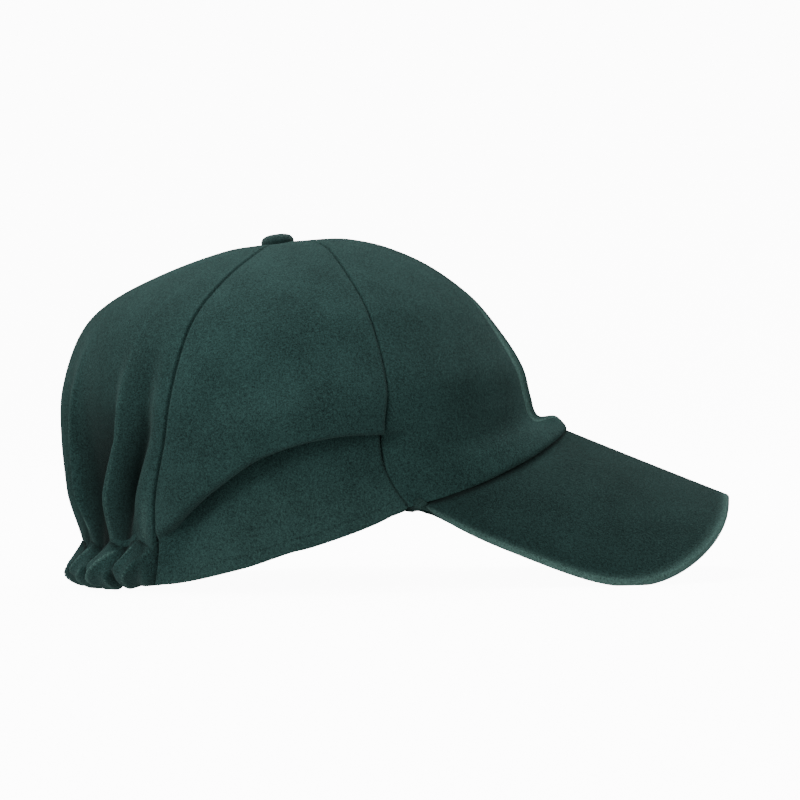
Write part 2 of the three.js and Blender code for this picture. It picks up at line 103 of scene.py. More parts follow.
# Level sections of the crown: share of the way down, reach to the front and back as shares of the length,
# half width as a share of the width, rise at front, side and back as shares of the height, power of the oval,
# and the places of the side gore's seams in degrees from the front
crown_levels = np.array([
    [0, -0.024, 0.067, 0.024, 0.993, 0.985, 0.985, 2, 50, 108],
    [0.1, 0.099, 0.149, 0.148, 1, 0.972, 0.964, 2, 54, 108],
    [0.28, 0.226, 0.282, 0.302, 0.946, 0.889, 0.892, 2, 57.5, 110],
    [0.44, 0.332, 0.384, 0.407, 0.843, 0.781, 0.809, 2.1, 59.5, 111],
    [0.56, 0.396, 0.438, 0.464, 0.735, 0.667, 0.717, 2.1, 60.3, 112],
    [0.67, 0.438, 0.47, 0.494, 0.637, 0.545, 0.573, 2.2, 62.5, 112],
    [0.77, 0.454, 0.475, 0.5, 0.553, 0.444, 0.447, 2.2, 64.7, 113.5],
    [0.88, 0.467, 0.465, 0.48, 0.499, 0.3, 0.29, 2.3, 67, 117],
    [0.95, 0.5, 0.447, 0.466, 0.474, 0.215, 0.12, 2.35, 69, 120],
    [1, 0.525, 0.431, 0.453, 0, 0, 0, 2.4, 69.2, 123],
])
level, reach_front, reach_back, half_width, rise_front, rise_side, rise_back, oval, seam_front, seam_back = (
    crown_levels.T
)

# Rise of the rim, the last level, in degrees from the front and as shares of the height
rim_places = np.array([0, 18, 31, 40, 49, 61, 69, 77, 86, 100, 121, 150, 180])
rim_rises = np.array(
    [0.464, 0.424, 0.384, 0.354, 0.321, 0.281, 0.256, 0.209, 0.162, 0.088, 0.04, 0.02, 0.012]
)


def lerp(start, end, share):
    """The value at a share of the way from start to end."""
    return start + (end - start) * share


def ease(value, start, end):
    """0 up to start, 1 from end on, and a smooth cubic step between."""
    share = np.clip((value - start) / (end - start), 0, 1)
    return share * share * (3 - 2 * share)


def smooth(places, values, at):
    """Cubic curve through the values at their places, with the slope at each that its neighbours have."""
    last = len(places) - 1
    rows = np.arange(last + 1)
    values = values.reshape(last + 1, *(values.shape[1:] or [1] * at.ndim))
    values = np.broadcast_to(values, (last + 1, *at.shape))
    before, after = np.maximum(rows - 1, 0), np.minimum(rows + 1, last)
    spans = (places[after] - places[before]).reshape(last + 1, *[1] * at.ndim)
    slopes = (values[after] - values[before]) / spans
    row = np.clip(np.searchsorted(places, at, side="right") - 1, 0, last - 1)
    width = places[row + 1] - places[row]
    s = np.clip((at - places[row]) / width, 0, 1)
    pick = lambda table, index: np.take_along_axis(table, index[None], 0)[0]
    start = (1 + 2 * s) * (1 - s) ** 2 * pick(values, row) + s * (1 - s) ** 2 * width * pick(slopes, row)
    end = s * s * (3 - 2 * s) * pick(values, row + 1) + s * s * (s - 1) * width * pick(slopes, row + 1)
    return start + end


def unit(vectors):
    """Vectors of length one."""
    return vectors / np.linalg.norm(vectors, axis=-1, keepdims=True)


def crown(around, down):
    """The smooth crown: at each share of the way down a squared oval, whose height is the side's rise plus a
    tilt with the cosine and a bend with its square."""
    around, down = np.broadcast_arrays(np.asarray(around, float), np.asarray(down, float))
    front = smooth(level, reach_front, down) * crown_length
    back = -smooth(level, reach_back, down) * crown_length
    half = smooth(level, half_width, down) * crown_width
    power = 2 / smooth(level, oval, down)
    cosine = np.sign(np.cos(around)) * np.abs(np.cos(around)) ** power
    sine = np.sign(np.sin(around)) * np.abs(np.sin(around)) ** power
    tilt, bend = (rise_front - rise_back) / 2, (rise_front + rise_back) / 2 - rise_side
    column = lambda values: values.reshape(-1, *[1] * down.ndim)
    rises = column(rise_side) + column(tilt) * cosine + column(bend) * cosine**2
    rises[-1] = smooth(rim_places, rim_rises, np.abs(np.degrees(around)))
    height = crown_height * smooth(level, rises, down)
    return np.stack([(front + back) / 2 + (front - back) / 2 * cosine, half * sine, height], -1)


def crown_frame(around, down):
    """Unit vectors of the crown at a place: outwards, down its face and sideways to the wearer's left."""
    step = 0.004
    downwards = crown(around, np.minimum(down + step, 1)) - crown(around, np.maximum(down - step, 0))
    sideways = unit(crown(around + step, down) - crown(around - step, down))
    outwards = unit(np.cross(downwards, sideways))
    return outwards, np.cross(sideways, outwards), sideways


def seam_angles(start, end, down):
    """Where a gore starts and ends at each level, in radians, with half the seam's gap taken off."""
    places = {"front": 0 * down, "front_seam": smooth(level, seam_front, down),
              "back_seam": smooth(level, seam_back, down), "back": 180 + 0 * down}
    angles = []
    step = 0.01
    for place, side in ((start, 1), (end, -1)):
        angle = np.radians(places[place])
        stretch = np.linalg.norm(crown(angle + step, down) - crown(angle - step, down), axis=-1) / (2 * step)
        angles.append(angle + side * seam_gap / 2 / stretch)
    return angles


def seam_dip(around, down, start, end):
    """How far the cloth dips at a gore's seams: a sharp drop at the stitches and a wide shallow slope."""
    edge = np.where(around < (start + end) / 2, start, end)
    distance = np.linalg.norm(crown(around, down) - crown(edge, down), axis=-1)
    dip = seam_depth * np.exp(-((distance / seam_width) ** 2))
    slope = seam_slope_depth * np.exp(-((distance / seam_slope_width) ** 2))
    return (dip + slope) * ease(down, *seam_start)


def seam_turn(around, down):
    """The way from a gore's side edges to the ends of the seam allowances, straight inwards."""
    return -seam_allowance * crown_frame(around[:, [0, -1]], down[:, [0, -1]])[0]


def close_to_edges(count):
    """Places from 0 to 1 that lie closer together at both ends."""
    even = np.linspace(0, 1, count)
    return even - edge_crowding * np.sin(2 * np.pi * even)


def down_at(around, height):
    """The share of the way down at which the crown has the given height, by halving."""
    upper, lower = np.full(np.shape(around), dome_end), np.ones(np.shape(around))
    for _ in range(halvings):
        middle = (upper + lower) / 2
        above = crown(around, middle)[..., 2] > height
        upper, lower = np.where(above, middle, upper), np.where(above, lower, middle)
    return (upper + lower) / 2


def into_part(points):
    """The drawing's points leaned about Y, moved to the part's frame, kept above the floor, in metres."""
    x, y, z = np.moveaxis(points, -1, 0)
    cosine, sine = math.cos(rest_lean), math.sin(rest_lean)
    placed = np.stack([x * cosine + z * sine, y, z * cosine - x * sine], -1) + drawing_origin
    placed[..., 2] = np.maximum(placed[..., 2], 0)
    return placed / 1000


def cloth_piece(
    name, node, points, material, side=1, uv=None, painted_light_shade=0, turned_in=None,
    thickness=cloth_thickness, ring=False,
):
    """A piece from a grid of points on its outer face, rows downwards and columns to the left, with a wall
    behind it. side -1 mirrors it to the wearer's right. Its painted light and shade runs from -1, painted
    shade deep in a fold, to 1, a painted highlight. turned_in is the way that the cloth runs on inwards
    beyond its first and last column. A ring is closed from its last row to its first and at both ends, and
    needs no wall."""
    rows, columns = points.shape[:2]
    painted_light_shade = np.broadcast_to(np.asarray(painted_light_shade, float), (rows, columns))
    if turned_in is not None:
        edges = np.r_[0, np.arange(columns), columns - 1]
        points, painted_light_shade, columns = points[:, edges], painted_light_shade[:, edges], columns + 2
        points[:, [0, -1]] += turned_in
        uv = None if uv is None else uv[:, edges]
    if side < 0:
        points = (points * [1, -1, 1])[:, ::-1]
        uv = None if uv is None else uv[:, ::-1]
        painted_light_shade = painted_light_shade[:, ::-1]
    index = np.arange(rows * columns).reshape(rows, columns)
    if ring:
        index = np.vstack([index, index[:1]])
    quads = np.stack([index[:-1, :-1], index[1:, :-1], index[1:, 1:], index[:-1, 1:]], -1).reshape(-1, 4)
    ends = [index[:-1, 0].tolist(), index[:-1, -1][::-1].tolist()] if ring else []
    mesh = bpy.data.meshes.new(name)
    mesh.from_pydata(into_part(points).reshape(-1, 3).tolist(), [], quads.tolist() + ends)
    mesh.shade_smooth()
    # The painted light and shade is kept on each point for the material
    mesh.attributes.new("Painted light and shade", "FLOAT", "POINT").data.foreach_set("value", painted_light_shade.ravel())
    if uv is not None:
        corners = np.empty(len(mesh.loops), int)
        mesh.loops.foreach_get("vertex_index", corners)
        mesh.uv_layers.new(name="Cloth").data.foreach_set("uv", uv.reshape(-1, 2)[corners].ravel())
    mesh.materials.append(material)
    piece = bpy.data.objects.new(name, mesh)
    bpy.context.scene.collection.objects.link(piece)
    if not ring:
        wall = piece.modifiers.new("Wall", "SOLIDIFY")
        wall.thickness = thickness / 1000
        wall.offset = -1
        edge = piece.modifiers.new("Soft edge", "BEVEL")
        edge.width = cloth_edge_radius / 1000
        edge.segments = 2
        edge.limit_method = "ANGLE"
        edge.angle_limit = math.radians(50)
    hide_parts(node)
    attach(piece, "root")
    return piece


def new_group(name, inputs, outputs):
    """An empty shader node group with float or vector inputs and float outputs, and its two end nodes."""
    group = bpy.data.node_groups.new(name, "ShaderNodeTree")
    for title, kind, value in inputs:
        socket = group.interface.new_socket(title, in_out="INPUT", socket_type=kind)
        if value is not None:
            socket.default_value = value
    for title, kind in outputs:
        group.interface.new_socket(title, in_out="OUTPUT", socket_type=kind)
    return group, group.nodes.new("NodeGroupInput"), group.nodes.new("NodeGroupOutput")


def maths(tree, operation, *values):
    """One Math node on numbers or sockets, and its result."""
    node = tree.nodes.new("ShaderNodeMath")
    node.operation = operation
    for socket, value in zip(node.inputs, values):
        if isinstance(value, (int, float)):
            socket.default_value = value
        else:
            tree.links.new(value, socket)
    return node.outputs[0]


def blend(tree, start, end, share):
    """Nodes for the value at a share of the way from one socket's value to another's."""
    return maths(tree, "ADD", maths(tree, "MULTIPLY", end, share), maths(tree, "MULTIPLY", start, 1 - share))


def noise(tree, scale, detail, roughness):
    """Noise in the object's own metres, from 0 to 1."""
    where = tree.nodes.new("ShaderNodeTexCoord")
    node = tree.nodes.new("ShaderNodeTexNoise")
    node.inputs["Scale"].default_value = scale
    node.inputs["Detail"].default_value = detail
    node.inputs["Roughness"].default_value = roughness
    tree.links.new(where.outputs["Object"], node.inputs["Vector"])
    return node.outputs["Factor"] if "Factor" in node.outputs else node.outputs["Fac"]


# The felted face of the wool: fine matted fibre, small tufts and faint wide patches
fibre_share = 0.7
patch_share = 0.12
wool_contrast = 4.6
# Colours mixed into the wool by its painted light and shade: painted shade in folds and under edges, and a
# painted highlight, a little uneven with the grain, where light would catch the cloth
painted_fold_shade = (0.006, 0.009, 0.0085)
painted_highlight_colour = (0.16, 0.3, 0.265)
painted_highlight_evenness = 0.4
stitch_darkness = 0.12
stitch_sink = 0.5

wool_face, _, wool_out = new_group(
    "Wool face", [], [("Shade", "NodeSocketFloat"), ("Height", "NodeSocketFloat")]
)
fibre = noise(wool_face, 2300, 3, 0.75)
tufts = noise(wool_face, 1200, 3, 0.6)
patches = noise(wool_face, 60, 3, 0.5)
fine = blend(wool_face, tufts, fibre, fibre_share)
mottled = maths(wool_face, "SUBTRACT", blend(wool_face, fine, patches, patch_share), 0.5)
shade = maths(wool_face, "ADD", maths(wool_face, "MULTIPLY", mottled, wool_contrast), 0.5)
wool_face.links.new(shade, wool_out.inputs["Shade"])
wool_face.links.new(fine, wool_out.inputs["Height"])


def wool(name, dark, light, sheen, stitches=None):
    """Dark wool cloth between two colours, with painted shade where its painted light and shade is below 0
    and a painted highlight where it is above 0, a soft sheen and, where asked for, a row of stitches."""
    material = bpy.data.materials.new(name)
    material.use_nodes = True
    tree = material.node_tree
    shader = tree.nodes["Principled BSDF"]
    shader.inputs["Roughness"].default_value = 0.95
    shader.inputs["Specular IOR Level"].default_value = 0
    shader.inputs["Sheen Weight"].default_value = sheen
    shader.inputs["Sheen Roughness"].default_value = 0.45
    shader.inputs["Sheen Tint"].default_value = (0.75, 0.97, 0.93, 1)
    face = tree.nodes.new("ShaderNodeGroup")
    face.node_tree = wool_face
    colour = tree.nodes.new("ShaderNodeMix")
    colour.data_type = "RGBA"
    colour.inputs["A"].default_value = (*dark, 1)
    colour.inputs["B"].default_value = (*light, 1)
    bump = tree.nodes.new("ShaderNodeBump")
    bump.inputs["Distance"].default_value = 0.0008
    bump.inputs["Strength"].default_value = 0.8
    shade, height = face.outputs["Shade"], face.outputs["Height"]
    if stitches:
        row = tree.nodes.new("ShaderNodeGroup")
        row.node_tree = stitches
        place = tree.nodes.new("ShaderNodeUVMap")
        place.uv_map = "Cloth"
        tree.links.new(place.outputs["UV"], row.inputs["Place"])
        shade = maths(tree, "SUBTRACT", shade, maths(tree, "MULTIPLY", row.outputs["Mask"], stitch_darkness))
        height = maths(tree, "SUBTRACT", height, maths(tree, "MULTIPLY", row.outputs["Mask"], stitch_sink))
    tree.links.new(shade, colour.inputs["Factor"])
    # Painted light and shade from the cloth's point attribute: below 0 towards the painted shade, above 0
    # towards the painted highlight
    painted_light_shade = tree.nodes.new("ShaderNodeAttribute")
    painted_light_shade.attribute_name = "Painted light and shade"
    toned = colour.outputs["Result"]
    into_painted_shade = maths(tree, "MULTIPLY", painted_light_shade.outputs["Fac"], -1)
    onto_painted_highlight = maths(tree, "MULTIPLY", painted_light_shade.outputs["Fac"], maths(tree, "ADD", shade, painted_highlight_evenness))
    for share, end in ((into_painted_shade, painted_fold_shade), (onto_painted_highlight, painted_highlight_colour)):
        step = tree.nodes.new("ShaderNodeMix")
        step.data_type = "RGBA"
        step.inputs["B"].default_value = (*end, 1)
        tree.links.new(share, step.inputs["Factor"])
        tree.links.new(toned, step.inputs["A"])
        toned = step.outputs["Result"]
    tree.links.new(toned, shader.inputs["Base Color"])
    tree.links.new(height, bump.inputs["Height"])
    tree.links.new(bump.outputs["Normal"], shader.inputs["Normal"])
    return material


gore_dark = (0.0085, 0.0185, 0.0175)
gore_light = (0.034, 0.08, 0.0735)
gore_sheen = 0.07
gore_wool = wool("Gore wool", gore_dark, gore_light, gore_sheen)

# The peak's sheet, on whose slope the front gores end
peak_length = 70
peak_half_width = 96.5
peak_roll_radius = 90
peak_pitch = math.radians(21.3)
peak_seat_gap = 0.1
rim_front = crown(0.0, 1.0) - [0, 0, cloth_thickness]
peak_ahead = np.array([math.cos(peak_pitch), 0, -math.sin(peak_pitch)])
peak_up = np.array([math.sin(peak_pitch), 0, math.cos(peak_pitch)])


def rolled(width, length, depth):
    """A flat place of the peak rolled on a cylinder whose axis tips down to the front."""
    angle = width / peak_roll_radius
    radius = peak_roll_radius - depth
    ahead = np.multiply.outer(length, peak_ahead)
    upwards = (radius * np.cos(angle) - peak_roll_radius)[..., None] * peak_up
    return rim_front + ahead + upwards + (radius * np.sin(angle))[..., None] * [0, 1, 0]


def unrolled(points):
    """The flat width and length of the peak's place above or below each point."""
    angle = np.arcsin(points[..., 1] / peak_roll_radius)
    drop = peak_roll_radius * (1 - np.cos(angle)) * math.sin(peak_pitch)
    return peak_roll_radius * angle, (points[..., 0] - rim_front[0] + drop) / math.cos(peak_pitch)


def sheet_height(points):
    """The height of the peak's upper face at each point."""
    width, length = unrolled(points)
    return rolled(width, length, 0)[..., 2]


def flare_lift(points, down):
    """The flare: a bump across the middle of the front that is highest just above the rim."""
    beside = np.exp(-((points[..., 1] / flare_half_width) ** 4))
    return flare_height * beside * ease(down, *flare_start) * (1 - ease(down, *flare_end))


def rim_roll(around, down, across):
    """The lower edge that stands over the peak: a bulge along the rim that ends in a quarter round.
    It dies out at the side gore."""
    above = np.linalg.norm(crown(around, down) - crown(around, np.ones(down.shape)), axis=-1)
    bulge = rim_roll_height * np.exp(-((np.maximum(above - rim_edge_radius, 0) / rim_roll_reach) ** 2))
    round_off = rim_edge_radius - np.sqrt(rim_edge_radius**2 - np.maximum(rim_edge_radius - above, 0) ** 2)
    return (bulge - round_off) * (1 - ease(across, *rim_roll_end_across))


def gore_front(down, across, dip_width, middle_painted_highlight=0):
    """A front gore: the crown, dipped at its seams, drawn in beside the side gore's band and set back over
    the given width beside the centre front. It gets a painted highlight of the given strength there and on
    the flare."""
    start, end = seam_angles("front", "front_seam", down)
    around = lerp(start, end, across)
    share = np.clip((down - front_lip) / (1 - front_lip), 0, 1)
    to_band = np.linalg.norm(crown(around, down) - crown(end, down), axis=-1)
    band_depth = 2 * (tuck_lip_radius + tuck_fold_radius) - tuck_puff * tuck_stand[0]
    pull = band_depth * (1 - share**2) * ease(share, 0, 0.1) * np.exp(-((to_band / band_pull_width) ** 2))
    outwards = crown_frame(around, down)[0]
    to_middle = np.linalg.norm(crown(around, down) - crown(start, down), axis=-1)
    dip = front_dip * np.exp(-((to_middle / dip_width) ** 2)) * ease(down, *front_dip_start)
    dip *= 1 - ease(down, *front_dip_end)
    sink = seam_dip(around, down, start, end) + pull + dip - rim_roll(around, down, across)
    points = crown(around, down) - sink[..., None] * outwards
    lift = flare_lift(points, down)
    points[..., 2] += lift
    # Painted highlight beside the centre front and over the flare
    seam_highlight = middle_painted_highlight * np.exp(-((to_middle / seam_painted_highlight_width) ** 4)) * ease(down, *seam_painted_highlight_start)
    flare_highlight = flare_painted_highlight_share * middle_painted_highlight * lift / flare_height
    return points, around, np.maximum(seam_highlight * (1 - ease(down, *seam_painted_highlight_end)), flare_highlight)


# The tuck across a side gore: share from its front seam to its back seam, height of the lip as a share of
# the crown's, the angle that the cloth turns at the lip in degrees, the share of the fold's depth, and the
# share by which the cloth above the lip stands out
tuck_rows = np.array([
    [0, 0.453, 180, 0.75, 0.34],
    [0.25, 0.445, 165, 1, 0.75],
    [0.5, 0.405, 150, 0.95, 1],
    [0.7, 0.316, 140, 0.6, 0.85],
    [0.85, 0.24, 100, 0.3, 0.5],
    [1, 0.178, 20, 0.2, 0],
])
tuck_across, tuck_lip, tuck_turn, tuck_fold, tuck_stand = tuck_rows.T


def lip_down(across):
    """The share of the way down of the tuck's lip at a share across the side gore."""
    start, end = seam_angles("front_seam", "back_seam", np.full(np.shape(across), lip_level))
    height = crown_height * smooth(tuck_across, tuck_lip, across) + tuck_lip_radius
    return down_at(lerp(start, end, across), height)


front_lip = lip_down(np.array([0.0]))[0]
front_rows = 1 - (1 - gore_top) * (1 - np.linspace(0, 1, gore_rows)) ** 1.6
front_down, front_across = np.meshgrid(front_rows, close_to_edges(gore_columns), indexing="ij")
for side, word, dip_width, middle_painted_highlight in (
    (1, "left", left_dip_width, seam_painted_highlight),
    (-1, "right", right_dip_width, 0),
):
    front_points, front_around, front_painted_highlight = gore_front(front_down, front_across, dip_width, middle_painted_highlight)
    gore = cloth_piece(f"Front_gore_{word}", f"front_panel_{word}", front_points, gore_wool, side,
                       painted_light_shade=front_painted_highlight, turned_in=seam_turn(front_around, front_down))

# Side gores
# The gore over each ear. A tuck folds its cloth up behind a lip, and below the lip it runs on as the side
# band, whose lower edge is turned in and stitched.

tuck_fold_depth = 10
tuck_soft_lip = 1.4
tuck_soft_across = (0.4, 0.9)
tuck_puff_reach = 30
# Painted shadow on the band just below the tuck's lip, and a faint painted highlight lower down the band
tuck_painted_shadow = 0.9
tuck_shadow_reach = 1.5
tuck_shadow_growth = 3.2
tuck_shadow_end_across = (0.6, 1)
band_painted_highlight = 0.045
band_painted_highlight_below_lip = (10, 35)
hem_stitch_place = 4.6
hem_stitch_length = 2.6
hem_stitch_width = 0.7
stitch_hole_share = 0.25
stitch_groove = 0.4
stitch_softness = 0.2
upper_steps = 70
arc_steps = 10
flat_steps = 5
band_steps = 34


def stitch_group(name, place, length, width):
    """A row of stitches at a distance from the edge: UV is in metres, along the edge and away from it."""
    group, start, end = new_group(name, [("Place", "NodeSocketVector", None)], [("Mask", "NodeSocketFloat")])
    split = group.nodes.new("ShaderNodeSeparateXYZ")
    group.links.new(start.outputs["Place"], split.inputs["Vector"])
    off = maths(group, "ABSOLUTE", maths(group, "SUBTRACT", split.outputs["Y"], place / 1000))
    beside = maths(group, "SMOOTH_MIN", maths(group, "DIVIDE", off, width / 1000), 1, stitch_softness)
    line = maths(group, "SUBTRACT", 1, beside)
    phase = maths(group, "FRACT", maths(group, "DIVIDE", split.outputs["X"], length / 1000))
    dash = maths(group, "GREATER_THAN", phase, stitch_hole_share)
    pressed = maths(group, "ADD", maths(group, "MULTIPLY", dash, 1 - stitch_groove), stitch_groove)
    group.links.new(maths(group, "MULTIPLY", line, pressed), end.inputs["Mask"])
    return group


def tuck_path(across):
    """The cloth's path down each line of the side gore: places down the crown, run below them and depth
    behind it. Rows are steps of the path: to the lip, round it, up behind it, round again and down to the
    rim."""
    lip = lip_down(across)
    turn = np.radians(smooth(tuck_across, tuck_turn, across))
    fold = tuck_fold_depth * smooth(tuck_across, tuck_fold, across)
    puff = tuck_puff * smooth(tuck_across, tuck_stand, across)
    radius = tuck_lip_radius * (1 + tuck_soft_lip * ease(across, *tuck_soft_across))
    share = np.linspace(0, 1, upper_steps)[:, None] ** 0.9
    down = lerp(gore_top, lip, share)
    upper = (down, 0 * down, -puff * ease(down, lip - tuck_puff_reach / crown_height, lip))
    angle = turn * np.linspace(0, 1, arc_steps + 1)[1:, None]
    lip_arc = (lip + 0 * angle, radius * np.sin(angle), radius * (1 - np.cos(angle)) - puff)
    along = fold * np.linspace(0, 1, flat_steps + 1)[1:, None]
    flat_run = radius * np.sin(turn) + along * np.cos(turn)
    flat_depth = radius * (1 - np.cos(turn)) + along * np.sin(turn) - puff
    flat = (lip + 0 * flat_run, flat_run, flat_depth)
    back = turn * (1 - np.linspace(0, 1, arc_steps + 1)[1:, None])
    fold_run = flat_run[-1] + tuck_fold_radius * (np.sin(turn) - np.sin(back))
    fold_depth = flat_depth[-1] + tuck_fold_radius * (np.cos(back) - np.cos(turn))
    fold_arc = (lip + 0 * fold_run, fold_run, fold_depth)
    share = np.linspace(0, 1, band_steps + 1)[1:, None]
    band = (lerp(lip, 1, share), fold_run[-1] * (1 - share), fold_depth[-1] * (1 - share**2))
    return [np.vstack(parts) for parts in zip(upper, lip_arc, flat, fold_arc, band)]


side_across = close_to_edges(gore_columns)[None, :]
side_down, side_run, side_depth = tuck_path(side_across)
side_start, side_end = seam_angles("front_seam", "back_seam", side_down)
side_around = lerp(side_start, side_end, side_across)
outwards, downwards, _ = crown_frame(side_around, side_down)
side_sink = side_depth + seam_dip(side_around, side_down, side_start, side_end)
side_points = crown(side_around, side_down) + side_run[..., None] * downwards
side_points -= side_sink[..., None] * outwards
hem_steps = np.linalg.norm(np.diff(side_points, axis=0), axis=-1)
hem_distance = np.vstack([np.cumsum(hem_steps[::-1], axis=0)[::-1], 0 * hem_steps[:1]])
hem_along = np.cumsum(np.linalg.norm(np.diff(side_points[-1], axis=0, prepend=side_points[-1][:1]), axis=-1))
side_uv = np.stack([np.broadcast_to(hem_along, hem_distance.shape), hem_distance], -1) / 1000
# Painted light and shade of the side gore: painted shadow below the lip, fading towards the back seam, and a
# faint painted highlight further down the band
below_lip = np.linalg.norm(side_points - side_points[upper_steps - 1], axis=-1)
shadow_reach = tuck_shadow_reach + tuck_shadow_growth * smooth(tuck_across, tuck_stand, side_across)
in_tuck = np.arange(len(side_down))[:, None] > upper_steps + arc_steps // 2
tuck_shadow = np.exp(-((below_lip / shadow_reach) ** 4)) * (1 - ease(side_across, *tuck_shadow_end_across))
side_painted_light_shade = in_tuck * (band_painted_highlight * ease(below_lip, *band_painted_highlight_below_lip) - tuck_painted_shadow * tuck_shadow)
hem_stitches = stitch_group("Hem stitches", hem_stitch_place, hem_stitch_length, hem_stitch_width)
side_wool = wool("Side gore wool", gore_dark, gore_light, gore_sheen, hem_stitches)
side_turn = seam_turn(side_around, side_down)
for side, word in ((1, "left"), (-1, "right")):
    gore = cloth_piece(f"Side_gore_{word}", f"side_panel_{word}", side_points, side_wool, side,
                       side_uv, side_painted_light_shade, side_turn)

# Back gores
# Two gores over the back of the head. The elastic in the casing below gathers their cloth into deep folds,
# which end in small pockets at the row of stitches above the casing.

gather_depth = 10
gather_growth = (0.5, 0.9)
gather_fade_width = 7
fold_slant = 0.1
fold_slant_height = 45
fold_slant_turn = 1.6
fold_slant_turn_across = (0.25, 0.55)
# Painted shade in the valleys of the gathers, over the lower back and just below the pinch, and a painted
# highlight on the ridges
fold_painted_shade = 0.95
ridge_painted_highlight = 0.36
ridge_painted_highlight_fold_heights = (0.9, 1)
back_painted_shade = 0.17
back_painted_shade_start = (0.2, 0.5)
pinch_depth = 4.4
pinch_fold_depth = 1.6
pinch_reach = 24
pinch_wander = 1.3
pinch_wander_rate = 31
pinch_painted_shadow = 0.6
pinch_shadow_reach = 3
crease_count = 12
crease_depth = 0.35
crease_sway = 2.5
crease_sway_rate = 11
casing_height = 17
casing_overlap = 0.01

# Folds across a back gore: share from its side seam to the centre back, and height, 1 on a ridge and 0 in
# a valley
fold_places = np.array(
    [0, 0.06, 0.15, 0.205, 0.245, 0.29, 0.33, 0.35, 0.38, 0.44, 0.48, 0.51, 0.62, 0.74, 0.87, 1]
)
fold_heights = np.array([0.8, 1, 0.75, 0, 0.35, 0.8, 1, 0.6, 0, 0.05, 0.5, 1, 0.15, 0.85, 0.05, 0.7])


def away_from_side(around, down):
    """0 beside the side gore and 1 away from it."""
    seam = crown(np.radians(smooth(level, seam_back, down)), down)
    distance = np.linalg.norm(crown(around, down) - seam, axis=-1)
    return 1 - np.exp(-((distance / gather_fade_width) ** 2))


def pinch_sink(across):
    """How far the stitches above the casing draw the cloth in, with small creases between them."""
    fold = smooth(fold_places, fold_heights, across)
    sway = crease_sway * np.sin(crease_sway_rate * across)
    crease = 1 + np.cos(2 * np.pi * crease_count * across + sway)
    return pinch_depth + pinch_fold_depth * (1 - fold) + crease_depth * crease


def casing_top(around):
    """The share of the way down at which the casing begins, at its slightly uneven height above the rim."""
    height = casing_height + pinch_wander * np.sin(pinch_wander_rate * around)
    return down_at(around, crown(around, np.ones(np.shape(around)))[..., 2] + height)


def gore_back(across, step):
    """A back gore: the crown, dipped at its seams, folded by the gathers and drawn in above the casing, its
    painted light and shade and the turn of its seam allowances."""
    start, end = seam_angles("back_seam", "back", np.ones(across.shape))
    rim_around = lerp(start, end, across)
    down = lerp(gore_top, casing_top(rim_around) + casing_overlap, step)
    start, end = seam_angles("back_seam", "back", down)
    around = lerp(start, end, across)
    height = crown(around, down)[..., 2] - crown(around[-1:], down[-1:])[..., 2]
    growth = ease(down, *gather_growth)
    slant = fold_slant * np.clip(height / fold_slant_height, 0, 1)
    slant *= 1 - fold_slant_turn * ease(across, *fold_slant_turn_across)
    fold = smooth(fold_places, fold_heights, np.clip(across + slant, 0, 1))
    fade = away_from_side(around, down)
    gathers = gather_depth * growth * (1 - fold)
    pinch = ease(pinch_reach - height, 0, pinch_reach)
    drawn_in = lerp(gathers, pinch_sink(across), pinch) * fade
    sink = drawn_in + seam_dip(around, down, start, end)
    # Painted shade in the folds, under the pinch and over the lower back, and a painted highlight on the
    # ridges
    in_fold = fold_painted_shade * growth * (1 - fold) ** 1.2
    in_pinch = pinch_painted_shadow * np.exp(-((height / pinch_shadow_reach) ** 2))
    painted_hollow_shade = np.maximum(np.maximum(in_fold, in_pinch), back_painted_shade * ease(down, *back_painted_shade_start))
    painted_light_shade = (ridge_painted_highlight * growth * ease(fold, *ridge_painted_highlight_fold_heights) - painted_hollow_shade) * fade
    points = crown(around, down) - sink[..., None] * crown_frame(around, down)[0]
    return points, painted_light_shade, seam_turn(around, down)


back_step, back_across = np.meshgrid(
    np.linspace(0, 1, gore_rows) ** 0.85, close_to_edges(2 * gore_columns), indexing="ij"
)
back_points, back_painted_light_shade, back_turn = gore_back(back_across, back_step)
for side, word in ((1, "left"), (-1, "right")):
    gore = cloth_piece(f"Back_gore_{word}", f"back_panel_{word}", back_points, gore_wool, side,
                       painted_light_shade=back_painted_light_shade, turned_in=back_turn)

# Elastic casing
# A soft channel of the same cloth round the back of the rim with elastic inside. It is stitched along the
# pinch above it and stands out below as a full, uneven frill.

casing_fullness = 7.8
casing_inner_fullness = 2.2
casing_end_share = 0.15
casing_end_dip = 0.9
casing_end_tuck = 4
casing_end_run = 0.012
casing_stitch_play = 0.4
casing_wave = 4.4
casing_wave_middle = 0.6
hem_wave = 2.4
lump_sway = 0.025
# Painted shade between the frill's lumps and just below the pinch, and a painted highlight on the wrinkles'
# crests
lump_painted_shade = 0.7
wrinkle_count = 8
wrinkle_slant = 1.5
wrinkle_height = 2.6
wrinkle_middle = 0.4
wrinkle_painted_highlight = 0.4
casing_shadow_end = 0.15
casing_darkest_painted_shade = -0.9
casing_columns = 360
casing_steps = 40

# Lumps of the frill across a back gore: share from its side seam to the centre back, and height from 0 to 1
lump_places = np.array(
    [0, 0.05, 0.08, 0.11, 0.17, 0.2, 0.225, 0.26, 0.35, 0.42, 0.445, 0.48, 0.58, 0.68, 0.8, 0.9, 1]
)
lump_heights = np.array(
    [0.3, 0.45, 0.3, 0.5, 0.75, 0.55, 0, 0.65, 0.95, 0.8, 0.15, 0.6, 0.9, 0.15, 0.9, 0.1, 0.8]
)


